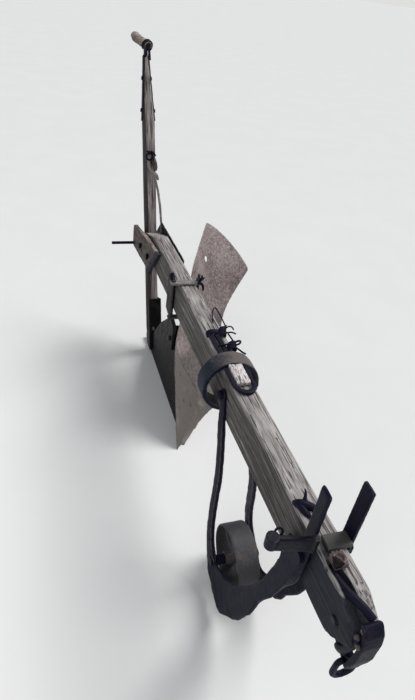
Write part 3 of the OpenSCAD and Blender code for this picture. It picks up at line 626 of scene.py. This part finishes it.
def smooth_line(points, u):
    """The place at u, from 0 to 1, on a curve through the points, and its direction."""
    last = len(points) - 1
    row = min(int(u * last), last - 1)
    f = u * last - row
    a, b, c, d = [Vector(points[min(max(row + step, 0), last)]) for step in (-1, 0, 1, 2)]
    place = 2 * b + (c - a) * f + (2 * a - 5 * b + 4 * c - d) * f ** 2 + (3 * b - a - 3 * c + d) * f ** 3
    return place / 2, (c - a) * (1 - f) + (d - b) * f


upper_edge, lower_edge = [[Vector(row[side]) for row in sheet_edges] for side in (0, 1)]
sheet_end = (upper_edge[5] + lower_edge[5] - upper_edge[4] - lower_edge[4]).normalized()


def sheet(s, t):
    """The sheet's front face: s from the point to the tail, t downwards."""
    flat = smooth_line(upper_edge, s)[0].lerp(smooth_line(lower_edge, s)[0], t)
    hollow = 26 * math.sin(math.pi * t) * math.sin(math.pi * min(1, 0.75 * s + 0.12))
    return flat + sheet_end * 34 * s ** 5 * 4 * t * (1 - t) + Vector((-0.5, 0.7, -0.5)) * hollow


def sheet_back(s, t):
    """The direction from the front face into the sheet."""
    along = sheet(min(s + 0.01, 1), t) - sheet(max(s - 0.01, 0), t)
    down = sheet(s, min(t + 0.01, 1)) - sheet(s, max(t - 0.01, 0))
    return along.cross(down).normalized()


def sheet_piece(name, start, end, rows, columns):
    bpy.ops.object.select_all(action="DESELECT")
    bpy.ops.mesh.primitive_grid_add(x_subdivisions=rows, y_subdivisions=columns, size=1)
    piece = bpy.context.object
    piece.name = piece.data.name = name
    for point in piece.data.vertices:
        s, t = start + (point.co.x + 0.5) * (end - start), point.co.y + 0.5
        if end == 1:
            # the wing's tail corners are worn round
            worn_s, worn_t = 0.010, 0.04
            for corner in (0, 1):
                s_off, t_off = max(s - 1 + worn_s, 0) / worn_s, max(worn_t - abs(t - corner), 0) / worn_t
                reach = math.hypot(s_off, t_off)
                square = max(s_off, t_off)
                if reach > 0 and square > 0:
                    s -= s_off * worn_s * (1 - square / reach)
                    t += (1 if corner == 0 else -1) * t_off * worn_t * (1 - square / reach)
        point.co = at(*sheet(s, t))
    wall = piece.modifiers.new("wall", "SOLIDIFY")
    wall.thickness = 0.005
    wall.offset = 1
    wall.use_even_offset = True
    bpy.ops.object.modifier_apply(modifier="wall")
    return piece


def finish_sheet(piece, sink):
    """Evens and wears a sheet, and keeps its lower edge on the floor."""
    evened(piece, 0.0029, 3)
    worn(piece, sink)
    for point in piece.data.vertices:
        point.co.z = max(point.co.z, 0.0002)


seam, seam_lap = 0.384, 0.002
hole_place = (0.87, 0.25)
wing = sheet_piece("wing_sheet", seam, 1, 90, 60)
bpy.ops.mesh.primitive_cylinder_add(vertices=32, radius=0.0115, depth=0.05)
punch = bpy.context.object
punch_turn = sheet_back(*hole_place).to_track_quat("Z", "Y").to_matrix().to_4x4()
punch.data.transform(Matrix.Translation(at(*sheet(*hole_place))) @ punch_turn)
bpy.ops.object.select_all(action="DESELECT")
bpy.context.view_layer.objects.active = wing
wing.select_set(True)
cut = wing.modifiers.new("hole", "BOOLEAN")
cut.operation = "DIFFERENCE"
cut.object = punch
bpy.ops.object.modifier_apply(modifier="hole")
bpy.data.objects.remove(punch)


def pitted(place, normal):
    pit = max(noise.noise(place * 130) - 0.22, 0)
    return 0.0001 + 0.0022 * pit + 0.0006 * noise.noise(place * 22)


finish_sheet(wing, pitted)
wing_finish, wing_shader, place = new_finish("wing_iron")
cloud = speckle(place, 8, 5, 0.6)
fleck = speckle(place, 95, 4, 0.65)
dot = between(speckle(place, 170, 2, 0.5), 0.62, 0.68)
scar = between(speckle(place, 210, 3, 0.6), 0.60, 0.70)
edge = between(noted(place, "proud"), 0.08, 0.22)
tone = between(cloud * 0.45 + fleck * 0.55, 0.38, 0.62)
colour = mixed(tone, (0.145, 0.106, 0.104), (0.33, 0.27, 0.265))
colour = mixed(dot * 0.7, colour, (0.55, 0.50, 0.49))
colour = mixed(scar * 0.6, colour, (0.07, 0.045, 0.045))
# Partly painted shade and partly the share's browner tone: the wing below about 250 mm, under the beam, is
# painted dark brown-grey.
low = between(component(place, 2) + (cloud - 0.5) * 0.08, 0.28, 0.21)
colour = mixed(low * 0.9, colour, mixed(tone, (0.07, 0.058, 0.053), (0.14, 0.12, 0.11)))
# Painted highlight with wear: the wing's edges that stand out are painted pale.
colour = mixed(edge * 0.6, colour, (0.42, 0.37, 0.35))
feed(wing_shader, Base_Color=colour, Metallic=0.15, Roughness=0.72 - tone * 0.12,
     Normal=bumped(fleck * 0.6 + dot * 0.5 - scar * 0.7, 0.7, 0.0018))
dress(wing, "moldboard", wing_finish)

blade = sheet_piece("share_blade", 0, seam + seam_lap, 60, 50)
bpy.ops.object.mode_set(mode="EDIT")
bpy.ops.mesh.select_all(action="SELECT")
bpy.ops.mesh.bisect(plane_co=(0, 0, 0), plane_no=(0, 0, 1), use_fill=True, clear_inner=True)
bpy.ops.object.mode_set(mode="OBJECT")
finish_sheet(blade, dented)
share_iron = iron("share_iron", (0.10, 0.085, 0.078), (0.19, 0.165, 0.152), 0.55, 0.45, 0.8,
                  (0.36, 0.34, 0.32))
dress(blade, "share", share_iron)


def round_head(name, radius, height):
    """A hammered bolt head on the origin with its crown along Z."""
    bpy.ops.object.select_all(action="DESELECT")
    bpy.ops.mesh.primitive_cylinder_add(vertices=24, radius=radius, depth=height, location=(0, 0, height / 2))
    head = bpy.context.object
    bpy.ops.object.transform_apply(location=True)
    bpy.ops.object.mode_set(mode="EDIT")
    shape = bmesh.from_edit_mesh(head.data)
    for face in shape.faces:
        face.select_set(face.normal.z > 0.9)
    bmesh.update_edit_mesh(head.data)
    bpy.ops.mesh.bevel(offset=min(radius, height) * 0.7, segments=4, affect="EDGES")
    bpy.ops.object.mode_set(mode="OBJECT")
    bpy.ops.object.shade_smooth_by_angle(angle=0.8)
    head.name = name
    return head


def head_copy(pattern, name, place, along, finish):
    """A copy of a bolt head at a place, with its crown along a direction."""
    copy = bpy.data.objects.new(name, pattern.data.copy())
    bpy.context.scene.collection.objects.link(copy)
    lean = along.to_track_quat("Z", "Y").to_matrix().to_4x4()
    copy.data.transform(Matrix.Translation(place) @ lean)
    dress(copy, None, finish)


bolt_head = round_head("share_bolt", 0.0085, 0.0018)
for number, (s, t) in enumerate(((0.34, 0.24), (0.26, 0.46), (0.28, 0.66), (0.20, 0.30))):
    head_copy(bolt_head, f"share_bolt_{number}", at(*sheet(s, t)) + sheet_back(s, t) * 0.0004,
              -sheet_back(s, t), share_iron)
bpy.data.objects.remove(bolt_head)

# Irons: forged bars, straps and hoops, blue-black where grease has kept them and brown where it hasn't. Each
# is a worn copy of its CAD piece, and the right fork iron also has a broader belly. The square nut has
# painted shade in its hollow.
nut_iron = iron("nut_iron", (0.12, 0.085, 0.085), (0.36, 0.285, 0.27), 0.6, 0.6, 2.0, (0.46, 0.40, 0.38),
                gloss=0.12)
nut_shader = nut_iron.node_tree.nodes["Principled BSDF"]
place = Tone(nut_iron.node_tree, nut_iron.node_tree.nodes["Texture Coordinate"].outputs["Object"])
# Painted shade: the hole in the nut is painted nearly black.
near = measured("DISTANCE", place, at(-16, -823, 590))
nut_hole_shade = between(near + (speckle(place, 150) - 0.5) * 0.016, 0.0145, 0.0115)
skin = Tone(nut_iron.node_tree, nut_shader.inputs["Base Color"].links[0].from_socket)
feed(nut_shader, Base_Color=mixed(nut_hole_shade * 0.97, skin, (0.004, 0.004, 0.006)))
wheel_iron = iron("wheel_iron", (0.034, 0.033, 0.038), (0.085, 0.072, 0.068), 0.5, 0.6)
hoop_iron = iron("hoop_iron", (0.007, 0.012, 0.026), (0.022, 0.025, 0.036), 0.4, 0.5, dust_and_top_light=0.9, gloss=0.15)


def broad_limb(place, normal):
    """The limb behind the wheel is a broader strap than its CAD piece."""
    behind = ramp(place.y, -0.605, 0.03) * ramp(place.z, 0.52, -0.1)
    return dented(place, normal) - 0.004 * behind * abs(normal.x)


far_fork = even_copy("fork_left", "fork_iron_left", 0.0023, 8)
worn(far_fork, broad_limb)
dress(far_fork, "fork_left", dark_iron)
# the belly's outline goes forward under the wheel, up to the beam and back
belly = ((-78, -515, 53), (-80, -547, 35), (-80, -578, 24), (-80, -602, 36), (-77, -635, 84),
         (-65, -698, 201), (-62, -705, 240), (-60, -705, 270), (-56, -737, 341), (-52, -754, 406),
         (-49, -770, 475), (-47, -774, 509), (-45, -764, 543), (-48, -712, 530), (-49, -710, 484),
         (-51, -714, 452), (-54, -705, 402), (-57, -692, 341), (-59, -675, 287), (-63, -639, 225),
         (-66, -602, 169), (-68, -565, 131), (-69, -525, 112), (-70, -495, 99))
belly_thickness = 0.0085
near_fork = even_copy("fork_right", "fork_iron_right", 0.003, 0)
bpy.ops.object.select_all(action="DESELECT")
bpy.ops.mesh.primitive_circle_add(vertices=len(belly), fill_type="NGON")
sheet_iron = bpy.context.object
for point, place in zip(sheet_iron.data.vertices, belly):
    point.co = at(*place)
bpy.ops.object.mode_set(mode="EDIT")
bpy.ops.mesh.select_all(action="SELECT")
bpy.ops.mesh.extrude_region_move(TRANSFORM_OT_translate={"value": (belly_thickness, 0, 0)})
bpy.ops.mesh.select_all(action="SELECT")
bpy.ops.mesh.normals_make_consistent(inside=False)
bpy.ops.object.mode_set(mode="OBJECT")
near_fork.select_set(True)
bpy.context.view_layer.objects.active = near_fork
bpy.ops.object.join()
cut_off(at(-80, -590, 31), (0, -0.42, -0.91))
evened(near_fork, 0.0024, 16)
worn(near_fork, broad_limb)
dress(near_fork, "fork_right", dark_iron)
for node, name, voxel, slot, finish, body in (
    ("tie_bars", "tie_irons", 0.0017, "dark_iron", dark_iron, "plough"),
    ("clamp_plate", "fork_clamp_plate", 0.0015, "plate_iron", plate_iron, "plough"),
    ("clamp_nut", "square_nut", 0.0014, "nut_iron", nut_iron, "plough"),
    ("draught_link", "draught_ring", 0.0016, "dark_iron", dark_iron, "draught_link"),
    ("wheel", "gauge_wheel", 0.002, "wheel_iron", wheel_iron, "wheel"),
):
    piece = even_copy(node, name, voxel, 4)
    if name == "square_nut":
        piece.data.transform(Matrix.Translation((-0.006, 0, 0)))
    worn(piece, dented)
    dress(piece, node, finish, body)

# Hoop: a broad iron band driven on round the beam, dusty and painted lighter on top, and the U shaped wear
# loop before it. Both are longer than their CAD pieces.


def drawn_out(piece, fixed, factor):
    """Lengthens a piece along the beam from a place in millimetres that stays."""
    anchor = at(0, fixed, 0)
    anchor.x = anchor.z = 0
    longer = Matrix.Diagonal((1, factor, 1, 1))
    piece.data.transform(Matrix.Translation(anchor) @ longer @ Matrix.Translation(-anchor))


hoop = even_copy("collar", "beam_hoop", 0.002, 3)
drawn_out(hoop, -265, 1.5)
hoop.data.transform(Matrix.Translation((0, 0.012, -0.0004)))
worn(hoop, dented)
dress(hoop, "collar", hoop_iron)
loop = even_copy("wear_strap", "wear_loop", 0.0017, 4)
drawn_out(loop, -318, 1.3)
worn(loop, dented)
dress(loop, "wear_strap", dark_iron)

# Tie wires: iron wire wound round the two tie irons and the wear loop, with a
# loose bow towards the tail, two knots with curled ends and a tail at the hoop.


def wire(name, places, thick, finish=dark_iron):
    """A bent wire through places in millimetres, as a closed mesh."""
    places = list(places) + [places[-1]] * (5 - len(places))
    bpy.ops.object.select_all(action="DESELECT")
    bpy.ops.curve.primitive_nurbs_path_add()
    path = bpy.context.object
    path.name = path.data.name = name
    spline = path.data.splines[0]
    spline.points.add(len(places) - len(spline.points))
    for point, place in zip(spline.points, places):
        point.co = (*at(*place[:3]), 1)
        point.radius = place[3] if len(place) > 3 else 1
    spline.order_u = 3
    spline.resolution_u = 5
    spline.use_endpoint_u = True
    path.data.bevel_depth = thick / 2000
    path.data.bevel_resolution = 3
    path.data.use_fill_caps = True
    bpy.ops.object.convert(target="MESH")
    piece = bpy.context.object
    bpy.ops.object.transform_apply(location=True, rotation=True, scale=True)
    bpy.ops.object.shade_smooth()
    dress(piece, None, finish)
    return piece


def coil(centre, radii, turns, pitch, lean=0.0, start=0.0):
    """Places of a wire wound round an axis along the beam, flattened."""
    count = int(turns * 10) + 1
    places = []
    for step in range(count):
        turn = start + step / 10 * 2 * math.pi
        wobble = 1 + 0.09 * math.sin(step * 2.3)
        x = centre[0] + radii[0] * wobble * math.cos(turn) + lean * step / 10
        places.append((x, centre[1] - pitch * step / 10, centre[2] + radii[1] * wobble * math.sin(turn)))
    return places


wire("bow_wire", [(12, -24, 545), (15, -8, 549), (18, 8, 552), (26, 29, 553), (34, 43, 554), (40, 42, 554),
                  (41, 18, 553), (41, -12, 552), (40, -40, 552), (38, -62, 553), (30, -76, 556)], 4)
wire("bar_binding", coil((-7, -76, 551), (20, 8), 2.6, 6), 6)
wire("first_knot", coil((26, -66, 552), (9, 8), 4.4, 8, -2.4), 6.5)
wire("first_knot_end", [(30, -74, 557), (37, -72, 562), (45, -72, 564), (51, -77, 563), (53, -83, 558)], 4)
wire("first_knot_tail", [(28, -92, 556), (38, -95, 560), (47, -97, 559), (54, -100, 556)], 4.5)
wire("first_knot_cross", [(14, -88, 557), (22, -78, 563), (32, -70, 563), (38, -60, 558)], 6)
wire("edge_wire", [(34, -92, 553), (37, -104, 551), (38, -118, 551), (38, -132, 552), (36, -148, 555)], 4.5)
wire("second_knot", coil((28, -142, 554), (11, 9), 3.8, 9, -2.5, 0.8), 6.5)
wire("second_knot_ring", [(42 + 8 * math.cos(a), -148 + 7 * math.sin(a), 561 + 4 * math.cos(a))
                          for a in (step * 0.7 for step in range(11))], 5.5)
wire("second_knot_tail", [(34, -166, 557), (40, -178, 557), (44, -190, 558), (46, -200, 562)], 5)
wire("knot_cross", [(-14, -152, 558), (0, -154, 562), (14, -152, 562), (26, -150, 561), (34, -150, 560)], 5)

# Cross bar: a short flat iron on its edge, with round ends, clamps the right
# tine from the front, and a wire ring sits on its outer end.
bpy.ops.object.select_all(action="DESELECT")
bpy.ops.mesh.primitive_cube_add(size=1, location=(0, 0, 0))
bar = bpy.context.object
bar.name = bar.data.name = "cross_bar"
bar.data.transform(Matrix.Diagonal((0.076, 0.012, 0.034, 1)))
bpy.ops.object.mode_set(mode="EDIT")
bpy.ops.mesh.select_all(action="SELECT")
bpy.ops.mesh.bevel(offset=0.0035, segments=3, affect="EDGES")
bpy.ops.object.mode_set(mode="OBJECT")
bpy.ops.mesh.primitive_cylinder_add(vertices=28, radius=0.0125, depth=0.027,
                                    location=(-0.038, 0.001, 0.0045))
left_end = bpy.context.object
bpy.ops.mesh.primitive_cylinder_add(vertices=24, radius=0.0075, depth=0.036, location=(0.038, 0, 0))
right_end = bpy.context.object
for end in (left_end, right_end, bar):
    end.select_set(True)
bpy.context.view_layer.objects.active = bar
bpy.ops.object.join()
bar.data.transform(Matrix.Translation(at(-82, -778, 600)) @ Matrix.Rotation(math.radians(-13), 4, "Z"))
evened(bar, 0.0013, 4)
worn(bar, dented)
bar_iron = iron("bar_iron", (0.007, 0.007, 0.014), (0.021, 0.018, 0.023), 0.4, 0.45, 1.0,
                (0.42, 0.40, 0.39), gloss=0.12)
dress(bar, "clamp_bar", bar_iron)
ring_turns = [step * 0.7 for step in range(10)]
bar_ring = wire("bar_ring", [(-104 + 8 * math.cos(a), -760 + 3 * math.sin(a), 614 + 8 * math.sin(a))
                             for a in ring_turns], 4.5)
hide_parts("eye_bolt")

# Cleat: a forked iron dog driven into the beam's top beside the right tine,
# with one prong standing up.
wire("cleat_body", [(-24, -672, 562, 0.6), (-22, -680, 568, 1.1), (-14, -686, 571, 1.2),
                    (-4, -692, 571, 1.1), (4, -697, 571, 0.9), (9, -703, 572, 0.7)], 17)
wire("cleat_prong", [(-12, -684, 570, 1.2), (-8, -680, 577, 1.0), (-5, -675, 582, 0.8), (-4, -670, 588, 0.5),
                     (-5, -666, 592, 0.2)], 8)
wire("cleat_root", [(-20, -684, 569, 1), (-18, -696, 570, 1), (-13, -708, 568, 0.9), (-12, -714, 565, 0.7),
                    (-16, -724, 562, 0.6)], 15)

# Nose band: a strap bent down over the nose into the draught eye, with an arm
# back under the beam, hammered bolt ends and a round tang in the beam's
# groove. A bent iron runs up its right side to the bolt ends.
band_line = ((2, 3), (13, 0), (25, 5), (33, 18), (38, 42), (37, 90), (30, 130))


def band_place(u):
    """The middle of the band's thickness, ahead of and below the nose's top."""
    place, ahead = smooth_line(band_line, u)
    return place + Vector((-ahead.y, ahead.x)).normalized() * 4


bpy.ops.object.select_all(action="DESELECT")
bpy.ops.mesh.primitive_grid_add(x_subdivisions=60, y_subdivisions=8, size=1)
strip = bpy.context.object
band_width, nose_top = 38, -902
for point in strip.data.vertices:
    ahead, below = band_place(point.co.x + 0.5)
    height = beam_top(nose_top - min(0, ahead)) - below
    point.co = at(point.co.y * band_width, nose_top - ahead, height)
wall = strip.modifiers.new("wall", "SOLIDIFY")
wall.thickness = 0.0094
wall.offset = 0
bpy.ops.object.modifier_apply(modifier="wall")
band = bpy.data.objects.new("nose_band", nodes["nose_strap"].data.copy())
bpy.context.scene.collection.objects.link(band)
bpy.context.view_layer.objects.active = band
band.select_set(True)
bpy.ops.object.join()
merged()
evened(band, 0.0016, 0)
cut_off(at(0, -918, 568), (0, 0.72, 0.69))
steered(band)
evened(band, 0.0017, 5)
worn(band, dented)
dress(band, "nose_strap", dark_iron)
worn_iron = iron("worn_iron", (0.13, 0.115, 0.108), (0.30, 0.27, 0.25), 0.6, 0.45, 2.5, (0.5, 0.48, 0.46))
bolt_iron = iron("bolt_iron", (0.05, 0.042, 0.04), (0.16, 0.14, 0.135), 0.55, 0.55, 2.5, (0.4, 0.38, 0.37))
wire("nose_tang", [(-20, -826, 566), (-17, -846, 567), (-12, -864, 568), (-5, -882, 569), (3, -898, 568),
                   (10, -914, 562)], 15)
rivet = round_head("rivet", 0.0058, 0.005)
for number, (x, y, z, lean) in enumerate(((-19.5, -925, 541, (-1, -0.2, 0.2)), (-19.5, -934, 531, (-1, 0, 0)),
                                          (-14, -926, 560, (-0.5, -0.3, 0.8)))):
    head_copy(rivet, f"band_rivet_{number}", at(x, y, z), Vector(lean), bolt_iron)
bpy.data.objects.remove(rivet)
wire("nose_tie", [(-6, -890, 437, 0.9), (-11, -899, 446, 1), (-16, -912, 470, 1), (-18, -921, 500, 1),
                  (-19, -926, 522, 1), (-18, -928, 541, 1)], 14)

# Beam clamp: a thick strap across the beam with curled ends, drawn down by
# two dark rods.
clamp_iron = iron("clamp_iron", (0.135, 0.12, 0.112), (0.27, 0.245, 0.23), 0.5, 0.6, 1.3, (0.42, 0.40, 0.37))
clamp_rods, rod_shader, place = new_finish("clamp_rods")
height = component(place, 2)
grit = speckle(place, 150, 5, 0.7)
top_band = between(height, 0.533, 0.537) * (1 - between(height, 0.547, 0.55))
colour = mixed(between(grit, 0.4, 0.65), (0.125, 0.112, 0.104), (0.29, 0.265, 0.248))
colour = mixed(top_band, mixed(between(grit, 0.45, 0.65), (0.008, 0.008, 0.013), (0.035, 0.03, 0.03)), colour)
feed(rod_shader, Base_Color=colour, Roughness=0.62, Normal=bumped(grit, 0.6, 0.0016))
clamp = even_copy("standard_clamp", "beam_clamp", 0.0018, 3)
worn(clamp, dented)
dress(clamp, "standard_clamp", clamp_rods)
wire("clamp_curl_right", [(-46, 221, 546, 1.2), (-53, 218, 553, 1.1), (-59, 214, 564, 0.9),
                          (-60, 211, 576, 0.8), (-56, 210, 584, 0.7), (-52, 212, 578, 0.8),
                          (-53, 217, 566, 0.9)], 8)
wire("clamp_curl_left", [(34, 216, 546, 1.3), (41, 212, 554, 1.1), (44, 208, 564, 0.9),
                         (41, 206, 573, 0.6)], 8)
wire("clamp_tip_left", [(38, 214, 549, 1.2), (47, 212, 556, 1.0), (53, 212, 562, 0.5)], 8)
wire("clamp_end_down", [(30, 206, 547, 1.2), (40, 205, 545, 1.1), (48, 205, 538, 1), (51, 206, 526, 0.9),
                        (52, 207, 516, 0.6)], 9)

# Latch: a flat hook comes off the ring on the stilt's front and runs down as
# the rod, and a dark red peg is driven through the ring. The tips of the
# stilt's straps, which run up into the grip's ring, are made here too.
latch_red = timber("latch_red", (0.17, 0.115, 0.11), (0.02, 0.010, 0.010), (1, 1, 5), bleach_and_side_shade=0.2)
latch_iron = iron("latch_iron", (0.20, 0.185, 0.178), (0.42, 0.395, 0.38), 0.6, 0.5, 2.5, (0.5, 0.48, 0.46))
wire("latch_hook", [(-4, 862, 742, 0.9), (-8, 854, 728, 1), (-10, 846, 713, 1), (-3, 839, 696, 1),
                    (12, 836, 685, 1), (25, 842, 673, 1), (31, 850, 655, 0.8)], 12, latch_iron)
wire("latch_peg", [(3, 866, 750, 0.45), (6, 856, 740, 0.9), (10, 848, 727, 1.2), (13, 842, 712, 1.25),
                   (17, 840, 699, 0.9), (18, 840, 693, 0.4)], 17, latch_red)
wire("latch_loop", [(-9 + 14 * math.cos(a * 0.7), 846 + 3 * math.sin(a), 745 + 13 * math.sin(a * 0.7))
                    for a in range(10)], 7.5)
wire("latch_hasp", [(-22, 846, 766), (-12, 846, 762), (-2, 845, 766), (8, 846, 758), (14, 850, 748)], 8)

rod = even_copy("latch_rod", "latch_strip", 0.0014, 2)
leant(rod)
worn(rod, lambda place, normal: dented(place, normal) - 0.0016)
dress(rod, "latch_rod", worn_iron)
for number, side in enumerate((-1, 1)):
    wire(f"strap_tip_{number}", [(1 + 10 * side, 1030, 1052), (1 + 7.5 * side, 1029, 1068),
                                 (1 + 5 * side, 1027, 1084), (1 + 4 * side, 1025, 1097),
                                 (1 + 3.5 * side, 1024, 1106)], 10)

# Wedge: a split of pale, bare wood driven between the hoop and the beam. It
# is longer than its CAD piece.
wedge = even_copy("wedge", "pale_wedge", 0.0014, 2)
drawn_out(wedge, -322, 1.3)
worn(wedge, grip_wear)
wedge_wood = timber("wedge_wood", (0.74, 0.69, 0.67), (0.34, 0.31, 0.30), (1, 2.5, 1), bleach_and_side_shade=0.2)
dress(wedge, "wedge", wedge_wood)

# The rest: plain bolts, rods, the sole, the frog and the axle keep their CAD shape, and each gets the finish
# of its slot. The nose pin is nearly black, like the nose.
rod_rust = iron("rod_rust", (0.10, 0.08, 0.075), (0.22, 0.18, 0.165), 0.5, 0.6, 2.0)
finishes = {"dark_iron": dark_iron, "plate_iron": plate_iron, "clamp_iron": clamp_iron,
            "nut_iron": nut_iron, "wheel_iron": wheel_iron, "rod_rust": rod_rust,
            "wing_iron": wing_finish, "share_iron": share_iron,
            "beam_wood": beam_wood, "plank_wood": plank_wood, "stilt_wood": stilt_wood,
            "grip_wood": grip_wood, "wedge_wood": wedge_wood}
near_black_iron = iron("near_black_iron", (0.015, 0.017, 0.024), (0.024, 0.024, 0.03), 0.5, 0.6, gloss=0.3)
for part in frame["record"]["subparts"]:
    mesh = nodes[part["node"]].data
    mesh.materials.clear()
    mesh.materials.append(near_black_iron if part["node"] == "nose_pin" else finishes[part["material_slot"]])
